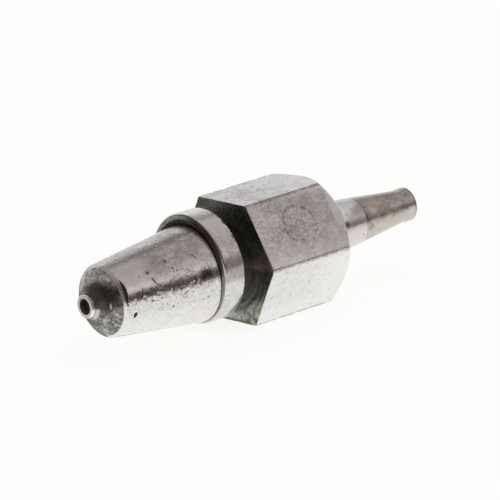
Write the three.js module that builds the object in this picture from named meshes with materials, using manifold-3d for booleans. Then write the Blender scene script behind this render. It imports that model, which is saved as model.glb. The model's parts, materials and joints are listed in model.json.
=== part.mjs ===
// Oil burner nozzle with a rear feed stem: tapered nose, captive ring, wrench
// hexagon and tapered tail, with the nozzle's working pieces inside.
// Millimetres. The nozzle's axis is X: the nose points to -X and the tail to +X.
// Stations along the axis are given from the hexagon's front face, and the
// whole assembly is then shifted so that the origin is the centre of its box.
import * as THREE from 'three';
import { mergeVertices } from 'three/addons/utils/BufferGeometryUtils.js';
import Module from 'manifold-3d';

const wasm = await Module();
wasm.setup();

// ---------------------------------------------------------------- dimensions
const SEG = 24;                 // facets round every turned surface
const GAP = 0.05;               // radial and end clearance between fitted pieces

const HEX_AF = 16.0;            // hexagon across flats
const HEX_EDGE = 13.0;          // front face to where a corner meets the chamfer
const HEX_BACK = 14.3;          // front face to rear face
const HEX_BACK_R = 7.67;        // radius of the rear face
const DISH_R = 7.1;             // shallow dish in the front face
const HEX_CORNER = HEX_AF / Math.sqrt(3);

const NIPPLE_FRONT = -23.69;
const NIPPLE_R = 1.56;
const NIPPLE_HOLE_R = 1.01;
const ORIFICE_R = 0.3;
const DOME_TOP = -22.8;
const RIM_S = -20.54;           // front rim of the taper
const RIM_R = 4.8;
const CONE_BASE_S = -6.48;
const CONE_BASE_R = 6.47;
const NECK_R = 5.05;
const SHANK_END = 5.5;
const NOSE_BORE_R = 3.6;
const NOSE_BORE_FRONT = -15.6;
const TIP_BORE_R = 2.75;
const TIP_BORE_FRONT = -21.0;

const RING_FRONT = -6.43;
const RING_LENGTH = 3.6;
const RING_R = 7.32;
const RING_BORE_R = 5.85;
const RING_LIFT = 0.60;         // the loose ring sits above the nozzle's axis

const FERRULE_R0 = 3.79;        // at the hexagon's rear face
const FERRULE_END = 21.7;
const FERRULE_R1 = 3.13;
const TAIL_END = 31.32;
const TAIL_R1 = 2.26;
const TAIL_BORE_R = 1.4;
const TAIL_SPIGOT_R = 2.2;

const BALL_R = 1.6;
const SEAT_BORE_R = 1.0;
const SEAT_S = -1.0;            // the seat's front face

const CENTRE = (NIPPLE_FRONT + TAIL_END) / 2;

// ------------------------------------------------------------------- helpers
// A closed mesh as a solid, with its faces turned outwards.
function solid(geometry) {
  const g = geometry.index ? geometry.clone() : geometry;
  for (const name of Object.keys(g.attributes)) if (name !== 'position') g.deleteAttribute(name);
  const merged = mergeVertices(g, 1e-5);
  const p = merged.attributes.position.array;
  const index = merged.index.array;
  const tri = [];
  let volume = 0;
  for (let i = 0; i < index.length; i += 3) {
    const [a, b, c] = [index[i], index[i + 1], index[i + 2]];
    if (a === b || b === c || a === c) continue;
    tri.push(a, b, c);
    const [A, B, C] = [a, b, c].map((k) => new THREE.Vector3(p[3 * k], p[3 * k + 1], p[3 * k + 2]));
    volume += A.dot(B.cross(C));
  }
  if (volume < 0) for (let i = 0; i < tri.length; i += 3) [tri[i + 1], tri[i + 2]] = [tri[i + 2], tri[i + 1]];
  return new wasm.Manifold(new wasm.Mesh({
    numProp: 3, vertProperties: new Float32Array(p), triVerts: new Uint32Array(tri),
  }));
}

// A solid turned about the X axis from [station, radius] pairs.
function turned(pairs, segments = SEG) {
  const points = pairs.map(([s, r]) => new THREE.Vector2(r, s));
  const g = new THREE.LatheGeometry(points, segments);
  g.rotateZ(-Math.PI / 2);
  return solid(g);
}

// A plain tube or, with no inner radius, a plain rod.
const tube = (s0, s1, r, bore) => turned(bore
  ? [[s0, bore], [s0, r], [s1, r], [s1, bore], [s0, bore]]
  : [[s0, 0], [s0, r], [s1, r], [s1, 0]]);

// A box between two corners, turned about the X axis.
function block(x0, x1, y0, y1, z0, z1, turn = 0) {
  const g = new THREE.BoxGeometry(x1 - x0, y1 - y0, z1 - z0);
  g.translate((x0 + x1) / 2, (y0 + y1) / 2, (z0 + z1) / 2);
  g.rotateX(turn);
  return solid(g);
}

// A rod across the axis at one station, turned about the X axis.
function crossRod(s, r, length, turn = 0) {
  const g = new THREE.CylinderGeometry(r, r, length, 12);
  g.translate(0, length / 2, 0);
  g.rotateX(turn);
  g.translate(s, 0, 0);
  return solid(g);
}

function toMesh(name, shape, colour, roughness, metalness) {
  const m = shape.getMesh();
  const g = new THREE.BufferGeometry();
  g.setAttribute('position', new THREE.BufferAttribute(new Float32Array(m.vertProperties), 3));
  g.setIndex(new THREE.BufferAttribute(new Uint32Array(m.triVerts), 1));
  g.computeVertexNormals();
  const mesh = new THREE.Mesh(g, new THREE.MeshStandardMaterial({ color: colour, roughness, metalness }));
  mesh.name = name;
  return mesh;
}

const assembly = new THREE.Group();
const nose = new THREE.Group();
const body = new THREE.Group();
const tail = new THREE.Group();
assembly.add(nose, body, tail);

const NICKEL = [0xb9b2b0, 0.35, 1.0];
const STEEL = [0x9a9896, 0.3, 1.0];
const BRASS = [0xb5985a, 0.4, 1.0];
const COPPER = [0xb87350, 0.45, 1.0];

// ----------------------------------------------------------------- nose cone
// Tapered nose with a domed end. Its neck carries the loose ring, and its
// shank sits in the hexagon's front socket.
{
  const outer = turned([
    [DOME_TOP, 0], [DOME_TOP, 1.75], [-22.62, 2.2], [-22.3, 2.75], [-21.8, 3.45],
    [-21.3, 4.06], [-20.9, 4.5], [RIM_S, RIM_R], [CONE_BASE_S, CONE_BASE_R], [CONE_BASE_S, NECK_R],
    [SHANK_END, NECK_R], [SHANK_END, 0],
  ]);
  const bore = turned([
    [DOME_TOP - 1, 0], [DOME_TOP - 1, NIPPLE_R + GAP], [TIP_BORE_FRONT, NIPPLE_R + GAP],
    [TIP_BORE_FRONT, TIP_BORE_R], [NOSE_BORE_FRONT, TIP_BORE_R], [NOSE_BORE_FRONT, NOSE_BORE_R],
    [SHANK_END + 1, NOSE_BORE_R], [SHANK_END + 1, 0],
  ]);
  nose.add(toMesh('nose_cone', outer.subtract(bore), ...NICKEL));
}

// Nipple with the discharge hole. A flange inside the dome holds it, and its
// back is hollowed to the cone in which the oil swirls.
{
  const flange = TIP_BORE_FRONT + GAP;
  nose.add(toMesh('orifice_insert', turned([
    [NIPPLE_FRONT + 0.18, NIPPLE_HOLE_R], [NIPPLE_FRONT, NIPPLE_HOLE_R + 0.18],
    [NIPPLE_FRONT, NIPPLE_R - 0.2], [NIPPLE_FRONT + 0.2, NIPPLE_R], [flange, NIPPLE_R], [flange, TIP_BORE_R - GAP], [-19.6, TIP_BORE_R - GAP], [-19.6, 2.1],
    [-21.4, ORIFICE_R], [-22.1, ORIFICE_R], [-22.5, NIPPLE_HOLE_R], [NIPPLE_FRONT + 0.18, NIPPLE_HOLE_R],
  ]), ...NICKEL));
}

// Swirl distributor: a blunt cone with four offset slots, a blind bore from
// behind and four cross holes that let the oil out to the slots.
{
  let d = turned([
    [-20.85, 0], [-20.85, 0.75], [-19.55, 2.07], [-19.55, TIP_BORE_R - GAP], [-19.0, TIP_BORE_R - GAP],
    [-19.0, 2.25], [-17.2, 2.25], [-17.2, TIP_BORE_R - GAP], [-15.7, TIP_BORE_R - GAP], [-15.7, 1.1],
    [-18.4, 1.1], [-18.4, 0],
  ]);
  for (let k = 0; k < 4; k++) {
    const turn = (k * Math.PI) / 2 + Math.PI / 4;
    d = d.subtract(block(-21.5, -18.9, 0.45, 0.95, 0.7, 3.5, turn));
    d = d.subtract(crossRod(-17.8, 0.45, 3.5, turn));
  }
  nose.add(toMesh('distributor', d, ...BRASS));
}

// Lock screw that presses the distributor home, with a screwdriver slot.
{
  const screw = tube(NOSE_BORE_FRONT + GAP, -11.4, NOSE_BORE_R - GAP, 0.9);
  nose.add(toMesh('lock_screw', screw.subtract(block(-12.4, -11, -4, 4, -0.5, 0.5)), ...BRASS));
}

// -------------------------------------------------------------- shut-off valve
// Ball on a seat. The oil pushes the ball forwards, and the spring returns it.
nose.add(toMesh('spring_retainer',
  tube(-11.3, -9.9, NOSE_BORE_R - GAP, 0.8), ...BRASS));
nose.add(toMesh('valve_cage',
  turned([[-9.8, 1.95], [-9.8, NOSE_BORE_R - GAP], [SEAT_S - 0.1, NOSE_BORE_R - GAP],
    [SEAT_S - 0.1, 1.95], [-9.8, 1.95]]), ...BRASS));

const BALL_S = SEAT_S - Math.sqrt(BALL_R ** 2 - (SEAT_BORE_R + 0.18) ** 2) - 0.04;
{
  const pairs = [];
  for (let k = 0; k <= 10; k++) {
    const a = (k * Math.PI) / 10;
    pairs.push([BALL_S - BALL_R * Math.cos(a), k % 10 ? BALL_R * Math.sin(a) : 0]);
  }
  nose.add(toMesh('valve_ball', turned(pairs), ...STEEL));
}

// Compression spring between the ball and the retainer, with closed round wire.
{
  const wire = 0.22, mean = 1.2, turns = 6;
  const front = -9.9 + 0.3, back = BALL_S - BALL_R * 0.72 - 0.3;
  class Helix extends THREE.Curve {
    getPoint(t) {
      const a = t * turns * 2 * Math.PI;
      return new THREE.Vector3(front + (back - front) * t, mean * Math.cos(a), mean * Math.sin(a));
    }
  }
  const section = new THREE.Shape();
  for (let k = 0; k < 6; k++) {
    const a = (k * Math.PI) / 3;
    section[k ? 'lineTo' : 'moveTo'](wire * Math.cos(a), wire * Math.sin(a));
  }
  section.closePath();
  const g = new THREE.ExtrudeGeometry(section, { steps: turns * 12, extrudePath: new Helix(), bevelEnabled: false });
  nose.add(toMesh('valve_spring', solid(g), ...STEEL));
}

nose.add(toMesh('valve_seat', turned([
  [SEAT_S, SEAT_BORE_R + 0.18], [SEAT_S, NOSE_BORE_R - GAP], [0.6, NOSE_BORE_R - GAP],
  [0.6, SEAT_BORE_R], [SEAT_S + 0.4, SEAT_BORE_R], [SEAT_S, SEAT_BORE_R + 0.18],
]), ...STEEL));
{
  const ring = tube(0.65, 2.05, NOSE_BORE_R - GAP, 1.7);
  nose.add(toMesh('valve_lock_ring', ring.subtract(block(1.4, 3, -4, 4, -0.5, 0.5)), ...BRASS));
}

// ---------------------------------------------------------------- loose ring
{
  const s0 = RING_FRONT, s1 = RING_FRONT + RING_LENGTH;
  const ring = toMesh('collar_ring', turned([
    [s0, RING_BORE_R + 0.15], [s0, RING_R - 0.38], [s0 + 0.12, RING_R - 0.12], [s0 + 0.38, RING_R],
    [s1 - 0.5, RING_R], [s1, RING_R - 0.5], [s1, RING_BORE_R + 0.15], [s1 - 0.15, RING_BORE_R],
    [s0 + 0.15, RING_BORE_R], [s0, RING_BORE_R + 0.15],
  ]), ...NICKEL);
  ring.position.z = RING_LIFT;
  body.add(ring);
}

// ------------------------------------------------------------------ hexagon
// Hexagon with flats up and down, chamfered behind, with a front socket for the
// nose's shank, a middle bore for the strainer and a rear socket for the tail.
{
  const outline = new THREE.Shape();
  for (let k = 0; k < 6; k++) {
    const a = (k * Math.PI) / 3;
    outline[k ? 'lineTo' : 'moveTo'](HEX_CORNER * Math.cos(a), HEX_CORNER * Math.sin(a));
  }
  outline.closePath();
  const g = new THREE.ExtrudeGeometry(outline, { depth: HEX_BACK, bevelEnabled: false });
  // outline X, Y and depth become Y, Z and X
  g.applyMatrix4(new THREE.Matrix4().set(0, 0, 1, 0, 1, 0, 0, 0, 0, 1, 0, 0, 0, 0, 0, 1));
  const slope = (HEX_BACK - HEX_EDGE) / (HEX_CORNER - HEX_BACK_R);
  const cone = turned([
    [-1, 0], [-1, 12], [HEX_EDGE - (12 - HEX_CORNER) * slope, 12], [HEX_BACK, HEX_BACK_R], [HEX_BACK, 0],
  ], 48);
  const bores = turned([
    [-1, 0], [-1, NECK_R + GAP], [6.0, NECK_R + GAP], [6.0, 3.2], [9.3, 3.2], [9.3, 3.45],
    [HEX_BACK + 1, 3.45], [HEX_BACK + 1, 0],
  ]);
  const dish = turned([[-1, 0], [-1, DISH_R], [0, DISH_R], [0.2, NECK_R], [0.2, 0]]);
  body.add(toMesh('hex_body', solid(g).intersect(cone).subtract(bores).subtract(dish), ...NICKEL));
}

// Copper washers: one at the end of the nose's shank, one in front of the tail.
body.add(toMesh('nose_seal_washer', tube(SHANK_END + GAP, 5.95, NECK_R, 3.65), ...COPPER));
body.add(toMesh('tail_seal_washer', tube(9.95, 10.3, 3.4, 2.0), ...COPPER));

// ----------------------------------------------------------------- strainer
// Windowed tube with a flange, a gauze sleeve over it and a cap on its front.
{
  let f = turned([
    [3.45, 1.5], [3.45, 1.85], [9.35, 1.85], [9.35, 3.4], [9.9, 3.4], [9.9, 1.5], [3.45, 1.5],
  ]);
  for (let k = 0; k < 2; k++) {
    for (const s of [4.1, 6.7]) f = f.subtract(block(s, s + 1.9, -0.6, 0.6, -2.5, 2.5, (k * Math.PI) / 2));
  }
  body.add(toMesh('strainer_frame', f, ...BRASS));
}
body.add(toMesh('strainer_gauze', tube(3.5, 9.25, 2.1, 1.9), ...STEEL));
body.add(toMesh('strainer_cap', turned([
  [2.5, 0], [2.5, 2.1], [3.4, 2.1], [3.4, 1.4], [4.0, 1.4], [4.0, 0],
]), ...BRASS));

// --------------------------------------------------------------------- tail
// Front section: a taper outside, and a spigot in the hexagon's rear socket.
tail.add(toMesh('tail_ferrule', turned([
  [10.35, 1.5], [10.35, 3.4], [HEX_BACK + GAP, 3.4], [HEX_BACK + GAP, FERRULE_R0],
  [FERRULE_END, FERRULE_R1], [FERRULE_END, TAIL_SPIGOT_R + GAP], [11.4, TAIL_SPIGOT_R + GAP],
  [11.4, 1.5], [10.35, 1.5],
]), ...NICKEL));
// Back section: a tapered tube whose spigot runs forward inside the front one.
{
  const shoulder = FERRULE_END + GAP;
  const r = (s) => FERRULE_R1 - 0.03 + (TAIL_R1 - 0.1 - FERRULE_R1 + 0.03) * ((s - shoulder) / (30.1 - shoulder));
  tail.add(toMesh('tail_tube', turned([
    [11.45, TAIL_BORE_R], [11.45, TAIL_SPIGOT_R], [shoulder, TAIL_SPIGOT_R], [shoulder, r(shoulder)],
    [30.1, r(30.1)], [30.35, TAIL_R1], [TAIL_END - 0.15, TAIL_R1], [TAIL_END, TAIL_R1 - 0.15],
    [TAIL_END, TAIL_BORE_R], [11.45, TAIL_BORE_R],
  ]), ...NICKEL));
}

assembly.position.x = -CENTRE;
export default assembly;
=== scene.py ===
# Looks for the oil burner nozzle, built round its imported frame. Metres.
import json
import math
import bpy
import numpy as np
from mathutils import Matrix, Vector


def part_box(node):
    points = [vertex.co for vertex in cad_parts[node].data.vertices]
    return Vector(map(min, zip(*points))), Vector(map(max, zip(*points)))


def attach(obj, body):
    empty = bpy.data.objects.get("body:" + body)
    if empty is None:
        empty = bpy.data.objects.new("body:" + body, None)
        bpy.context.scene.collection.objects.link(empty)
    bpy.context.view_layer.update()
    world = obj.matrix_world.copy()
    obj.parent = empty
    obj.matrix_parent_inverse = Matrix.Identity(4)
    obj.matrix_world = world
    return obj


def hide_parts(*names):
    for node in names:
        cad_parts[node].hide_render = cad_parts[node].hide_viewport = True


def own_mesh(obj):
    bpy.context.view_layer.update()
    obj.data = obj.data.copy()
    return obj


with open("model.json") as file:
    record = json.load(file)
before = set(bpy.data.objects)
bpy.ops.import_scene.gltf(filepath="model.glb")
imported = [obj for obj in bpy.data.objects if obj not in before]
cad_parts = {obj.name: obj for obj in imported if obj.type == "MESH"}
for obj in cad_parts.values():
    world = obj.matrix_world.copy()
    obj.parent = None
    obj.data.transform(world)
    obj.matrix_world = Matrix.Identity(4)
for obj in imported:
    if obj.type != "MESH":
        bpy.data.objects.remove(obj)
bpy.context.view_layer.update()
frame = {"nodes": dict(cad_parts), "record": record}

MM = 0.001
# The hexagon's front face is the station 0 of every profile below.
X0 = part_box("hex_body")[0].x / MM
NODE = {n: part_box(n) for n in frame["nodes"]}


def station(node, end):
    return NODE[node][end].x / MM - X0


# ------------------------------------------------------------------ meshes
def make_object(name, verts, faces):
    me = bpy.data.meshes.new(name)
    me.from_pydata([tuple(v) for v in verts], [], faces)
    me.validate()
    me.update()
    ob = bpy.data.objects.new(name, me)
    bpy.context.scene.collection.objects.link(ob)
    return ob


def filleted(points, closed=True, step=0.25, arc=5, near=0.03):
    """A profile of (station, radius, fillet) corners as a dense line of points."""
    n = len(points)
    P = [np.array(p[:2], float) for p in points]
    F = [p[2] if len(p) > 2 else 0.0 for p in points]
    pieces = []
    for i in range(n):
        ends = not closed and i in (0, n - 1)
        if ends or F[i] <= 0:
            pieces.append((P[i], P[i], [P[i]]))
            continue
        a, b, c = P[i - 1], P[i], P[(i + 1) % n]
        u, v = (a - b) / np.linalg.norm(a - b), (c - b) / np.linalg.norm(c - b)
        cosang = float(np.clip(u @ v, -1, 1))
        half = math.acos(cosang) / 2
        t = min(F[i] / math.tan(half), 0.45 * np.linalg.norm(a - b), 0.45 * np.linalg.norm(c - b))
        r = t * math.tan(half)
        centre = b + (u + v) / np.linalg.norm(u + v) * (r / math.sin(half))
        p0, p1 = b + u * t, b + v * t
        w0, w1 = p0 - centre, p1 - centre
        ang = math.acos(float(np.clip(w0 @ w1 / (r * r), -1, 1)))
        k = max(2, int(math.ceil(arc * ang / (math.pi / 2))) + 1)
        pts = []
        for j in range(k + 1):
            f = j / k
            pts.append(centre + (math.sin((1 - f) * ang) * w0 + math.sin(f * ang) * w1) / math.sin(ang))
        pieces.append((p0, p1, pts))
    line = []
    for i in range(n):
        line.extend(pieces[i][2])
        if not closed and i == n - 1:
            break
        a, b = pieces[i][1], pieces[(i + 1) % n][0]
        L = np.linalg.norm(b - a)
        if L < 1e-6:
            continue
        cuts = []
        if L > 3 * near:
            cuts.append(near)
            k = int(L / step)
            cuts += [near + (L - 2 * near) * j / (k + 1) for j in range(1, k + 1)]
            cuts.append(L - near)
        for c in cuts:
            line.append(a + (b - a) * (c / L))
    out = [line[0]]
    for p in line[1:]:
        if np.linalg.norm(p - out[-1]) > 1e-5:
            out.append(p)
    if closed and np.linalg.norm(out[0] - out[-1]) < 1e-5:
        out.pop()
    return np.array(out)


def surface(name, G, closed):
    """A mesh from G[row, column] points in millimetres. Columns wrap. Rows wrap if closed, and otherwise end in poles."""
    rows, cols = G.shape[:2]
    if closed:
        V = G.reshape(-1, 3)
        i, j = np.meshgrid(np.arange(rows), np.arange(cols), indexing="ij")
        a = i * cols + j
        b = i * cols + (j + 1) % cols
        c = ((i + 1) % rows) * cols + (j + 1) % cols
        d = ((i + 1) % rows) * cols + j
        F = np.stack([a, b, c, d], -1).reshape(-1, 4)
        tris = np.zeros((0, 3), int)
    else:
        inner = G[1:-1]
        rows = inner.shape[0]
        V = np.vstack([inner.reshape(-1, 3), G[0, 0], G[-1, 0]])
        i, j = np.meshgrid(np.arange(rows - 1), np.arange(cols), indexing="ij")
        a = i * cols + j
        b = i * cols + (j + 1) % cols
        F = np.stack([a, b, b + cols, a + cols], -1).reshape(-1, 4)
        j = np.arange(cols)
        k = rows * cols
        last = (rows - 1) * cols
        tris = np.vstack([
            np.stack([np.full(cols, k), (j + 1) % cols, j], -1),
            np.stack([np.full(cols, k + 1), last + j, last + (j + 1) % cols], -1),
        ])
    t = np.vstack([F[:, [0, 1, 2]], F[:, [0, 2, 3]], tris])
    A, B, C = V[t[:, 0]], V[t[:, 1]], V[t[:, 2]]
    if np.einsum("ij,ij->", A, np.cross(B, C)) < 0:
        F, tris = F[:, ::-1], tris[:, ::-1]
    W = V * MM
    W[:, 0] += X0 * MM
    ob = make_object(name, W.tolist(), F.tolist() + tris.tolist())
    ob.data.shade_smooth()
    ob.data.set_sharp_from_angle(angle=math.radians(50))
    return ob


def turned_grid(line, cols, lift=0.0):
    a = np.linspace(0, 2 * math.pi, cols, endpoint=False)
    s, r = line[:, 0], line[:, 1]
    G = np.empty((len(line), cols, 3))
    G[..., 0] = s[:, None]
    G[..., 1] = r[:, None] * np.cos(a)
    G[..., 2] = r[:, None] * np.sin(a) + lift
    return G


def grid_normals(G, closed):
    if closed:
        dr = np.roll(G, -1, 0) - np.roll(G, 1, 0)
    else:
        dr = np.gradient(G, axis=0)
    dc = np.roll(G, -1, 1) - np.roll(G, 1, 1)
    N = np.cross(dr, dc)
    N /= np.maximum(np.linalg.norm(N, axis=-1, keepdims=True), 1e-12)
    return N


def value_noise(P, scale, seed):
    """Smooth noise from -1 to 1 at points P in millimetres, with cells of the given size."""
    rng = np.random.RandomState(seed)
    table = rng.uniform(-1, 1, 4096)
    q = P / scale + 100.0
    f0 = np.floor(q).astype(np.int64)
    t = q - f0
    t = t * t * (3 - 2 * t)
    out = 0
    for dx in (0, 1):
        for dy in (0, 1):
            for dz in (0, 1):
                h = (f0[..., 0] + dx) * 73856093 ^ (f0[..., 1] + dy) * 19349663 ^ (f0[..., 2] + dz) * 83492791
                w = (t[..., 0] if dx else 1 - t[..., 0]) * (t[..., 1] if dy else 1 - t[..., 1]) * (t[..., 2] if dz else 1 - t[..., 2])
                out = out + w * table[h & 4095]
    return out


def worn(G, outward, pits=(), wave=0.004, seed=1, weight=1.0):
    """Moves a grid's points along their normals: broad unevenness and small pits or nicks."""
    h = wave * value_noise(G, 2.3, seed) + 0.5 * wave * value_noise(G, 0.9, seed + 7)
    for centre, radius, depth in pits:
        d2 = ((G - np.array(centre)) ** 2).sum(-1)
        near = d2 < (2.6 * radius) ** 2
        h[near] -= depth * np.exp(-d2[near] / radius ** 2)
    return G + outward * (h * weight)[..., None]


# ------------------------------------------------------------- dimensions, mm
HEX_R = 16.0 / math.sqrt(3)
NOSE = station("orifice_insert", 0)
TAIL = station("tail_tube", 1)
RING0, RING1 = station("collar_ring", 0), station("collar_ring", 1)
RING_OUT = (NODE["collar_ring"][1].z - NODE["collar_ring"][0].z) / 2 / MM
RING_LIFT = (NODE["collar_ring"][0].z + NODE["collar_ring"][1].z) / 2 / MM
CONE = [(-20.54, 4.80), (-6.48, 6.47)]


def cone_r(s):
    (s0, r0), (s1, r1) = CONE
    return r0 + (r1 - r0) * (s - s0) / (s1 - s0)


def on_cone(s, a_deg):
    """A point on the nose's taper, with the angle from -Y towards +Z."""
    a = math.radians(a_deg)
    r = cone_r(s)
    return (s, -r * math.cos(a), r * math.sin(a))


# ----------------------------------------------------------------- nose cone
rng = np.random.RandomState(11)
cone_line = filleted([
    (-23.22, 1.62, 0.0), (-22.98, 1.74, 0.4), (-22.66, 2.15, 0.25), (-22.25, 2.80, 0.5), (-21.30, 4.04, 0.6), (-20.66, 4.77, 0.46),
    (-6.48, 6.47, 0.10), (-6.48, 5.05, 0.05), (5.5, 5.05, 0.08), (5.5, 3.6, 0.05),
    (-15.6, 3.6, 0.0), (-15.6, 2.75, 0.0), (-21.0, 2.75, 0.0), (-21.0, 1.60, 0.0),
], step=0.12)
G = turned_grid(cone_line, 320)
N = grid_normals(G, True)
radial = G.copy(); radial[..., 0] = 0
if (N * radial)[len(cone_line) // 4].sum() < 0:
    N = -N
out = (np.linalg.norm(radial, axis=-1) > 4.2) & (G[..., 0] < -6.5) | (G[..., 0] < -21.3) & (np.linalg.norm(radial, axis=-1) > 1.9)
cone_pits = [(on_cone(-19.4, -15.5), 0.26, 0.12), (on_cone(-19.34, -18.5), 0.22, 0.10)]
# pits low on the taper
for _ in range(46):
    s, a = rng.uniform(-17.5, -8.2), rng.uniform(-45, 2)
    cone_pits.append((on_cone(s, a), rng.uniform(0.10, 0.20), rng.uniform(0.03, 0.08)))
for _ in range(170):
    s, a = rng.uniform(-20.0, -7.5), rng.uniform(0, 360)
    cone_pits.append((on_cone(s, a), rng.uniform(0.08, 0.19), rng.uniform(0.012, 0.045)))
# nicks across the belly, each a short row of dents
for k in range(20):
    s, a = rng.uniform(-19.8, -9.0), rng.uniform(0, 14)
    for j in range(rng.randint(3, 7)):
        cone_pits.append((on_cone(s + rng.uniform(-0.02, 0.02), a + 1.2 * j), 0.13, 0.014))
for k in range(12):
    cone_pits.append((on_cone(-20.40 - 0.008 * k, 38 - 3.2 * k), 0.13, 0.05))
for _ in range(16):
    s, a, tilt = rng.uniform(-19.5, -8), rng.uniform(-20, 70), rng.uniform(-1, 1)
    for k in range(4):
        cone_pits.append((on_cone(s + 0.13 * k, a + 0.9 * tilt * k), 0.09, 0.03))
h_dome = (G[..., 0] < -20.6) * out
G = worn(G, N, cone_pits, wave=0.007, seed=3, weight=out.astype(float))
G = G + N * (0.026 * value_noise(G, 1.1, 41) + 0.006 * value_noise(G, 0.45, 43))[..., None] * h_dome[..., None] * (np.linalg.norm(radial, axis=-1) > 2.0)[..., None]
nose_cone = surface("nose_cone_shell", G, True)

# -------------------------------------------------------------------- nipple
nip_line = filleted([
    (NOSE, 1.07, 0.05), (NOSE, 1.56, 0.26), (-22.5, 1.56, 0.0), (-20.95, 1.56, 0.0), (-20.95, 2.70, 0.0), (-19.6, 2.70, 0.0),
    (-19.6, 2.1, 0.0), (-21.4, 0.3, 0.0), (-22.1, 0.3, 0.0), (-22.5, 1.01, 0.0), (NOSE + 0.15, 1.01, 0.05),
], step=0.08, arc=8)
G = turned_grid(nip_line, 128)
N = grid_normals(G, True)
radial = G.copy(); radial[..., 0] = 0
k = np.argmax(np.linalg.norm(radial[:, 0], axis=-1))
if (N * radial)[k].sum() < 0:
    N = -N
G = worn(G, N, [], wave=0.012, seed=9, weight=(G[..., 0] < -22.6).astype(float) * (G[..., 0] > NOSE + 0.12))
nipple = surface("orifice_nipple", G, True)

# ---------------------------------------------------------------------- ring
ring_line = filleted([
    (RING0, 5.70, 0.12), (RING0, RING_OUT, 0.42), (RING1, RING_OUT, 0.8), (RING1, 5.70, 0.12),
], step=0.14, arc=8)
G = turned_grid(ring_line, 320)
N = grid_normals(G, True)
radial = G.copy(); radial[..., 0] = 0
if (N * radial)[np.argmax(ring_line[:, 1])].sum() < 0:
    N = -N
ring_pits = []
for _ in range(60):
    a = rng.uniform(0, 2 * math.pi)
    ring_pits.append(((rng.uniform(RING0 + 0.3, RING1 - 0.3), RING_OUT * math.cos(a), RING_OUT * math.sin(a)), rng.uniform(0.08, 0.2), rng.uniform(0.015, 0.06)))
G = worn(G, N, ring_pits, wave=0.006, seed=5, weight=np.ones(G.shape[:2]))
over = np.linalg.norm(G[..., 1:], axis=-1)
G[..., 1:] *= np.minimum(1.0, RING_OUT / over)[..., None]
G[..., 0] = np.clip(G[..., 0], RING0, RING1)
G[..., 2] += RING_LIFT
ring = surface("loose_ring", G, True)


# ------------------------------------------------------------------- hexagon
def hex_radius(a, af, round_r):
    """Radius at angle a of a hexagon with rounded corners, with a corner at angle 0."""
    apothem = af / 2
    k = np.round((a - math.pi / 6) / (math.pi / 3))
    d = a - (k * math.pi / 3 + math.pi / 6)
    flat = apothem / np.cos(d)
    # corner fillet: a circle of round_r tangent to both flats
    rc = (apothem - round_r) / math.cos(math.pi / 6)
    e = np.abs(math.pi / 6 - np.abs(d))
    tangent = math.atan2((apothem - round_r) * math.tan(math.pi / 6), apothem)
    inside = np.abs(d) > tangent
    disc = np.maximum(round_r ** 2 - (rc * np.sin(e)) ** 2, 0)
    corner = rc * np.cos(e) + np.sqrt(disc)
    return np.where(inside, np.minimum(corner, flat), flat)


HEX_ROUND = 0.26
HEX_EDGE, HEX_BACK, BACK_R = 13.0, station("hex_body", 1), 7.67
per = 96
u = np.linspace(0, 1, per, endpoint=False)
warp = 0.5 - 0.5 * np.cos(np.pi * u)
w = 0.78 * u + 0.22 * warp
tangent = math.atan2((8.0 - HEX_ROUND) * math.tan(math.pi / 6), 8.0)
base = []
for k in range(6):
    c = k * math.pi / 3
    arc = math.pi / 6 - tangent
    corner = np.linspace(-arc, arc, 9)[:-1]
    flat = np.arctan(np.linspace(-math.tan(tangent), math.tan(tangent), per + 1)[:-1])
    base.append(c + corner)
    base.append(c + math.pi / 6 + flat)
angles = np.concatenate(base)
hexr = hex_radius(angles, 16.0, HEX_ROUND)
SLOPE = (HEX_BACK - HEX_EDGE) / (HEX_R - BACK_R)
columns = []
for a, r in zip(angles, hexr):
    crease = HEX_BACK - (r - BACK_R) * SLOPE - 0.055 * max(0.0, r * math.sin(a)) * (r - BACK_R) / (HEX_R - BACK_R)
    columns.append((a, r, crease))


def hex_profile(r, crease):
    return [
        (0.12, 5.06, 0.02), (0.0, 7.1, 12.0), (0.0, r, 0.13),
        (crease, r, 0.22), (HEX_BACK, BACK_R, 0.16), (HEX_BACK, 3.95, 0.10), (HEX_BACK - 0.3, 3.45, 0.0), (9.3, 3.45, 0.0), (9.3, 3.2, 0.0),
        (6.0, 3.2, 0.0), (6.0, 5.12, 0.0),
    ]


def fixed_line(points, counts, arc=4, near=0.03):
    """As filleted(), with a fixed count of points on each side, so that neighbouring profiles match."""
    n = len(points)
    P = [np.array(p[:2], float) for p in points]
    F = [p[2] for p in points]
    line, ends = [], []
    for i in range(n):
        a, b, c = P[i - 1], P[i], P[(i + 1) % n]
        if F[i] <= 0:
            ends.append((b, b, [b]))
            continue
        u, v = (a - b) / np.linalg.norm(a - b), (c - b) / np.linalg.norm(c - b)
        half = math.acos(float(np.clip(u @ v, -1, 1))) / 2
        t = min(F[i] / math.tan(half), 0.45 * np.linalg.norm(a - b), 0.45 * np.linalg.norm(c - b))
        r = t * math.tan(half)
        centre = b + (u + v) / np.linalg.norm(u + v) * (r / math.sin(half))
        w0, w1 = b + u * t - centre, b + v * t - centre
        ang = math.acos(float(np.clip(w0 @ w1 / (r * r), -1, 1)))
        pts = [centre + (math.sin((1 - j / arc) * ang) * w0 + math.sin(j / arc * ang) * w1) / math.sin(ang) for j in range(arc + 1)]
        ends.append((b + u * t, b + v * t, pts))
    for i in range(n):
        line.extend(ends[i][2])
        a, b = ends[i][1], ends[(i + 1) % n][0]
        L = np.linalg.norm(b - a)
        k = counts[i]
        if k >= 2:
            near_ = min(near, L / 4)
            cuts = [near_] + [near_ + (L - 2 * near_) * j / (k - 1) for j in range(1, k - 1)] + [L - near_]
            line.extend(a + (b - a) * (x / L) for x in cuts)
    return np.array(line)


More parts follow.
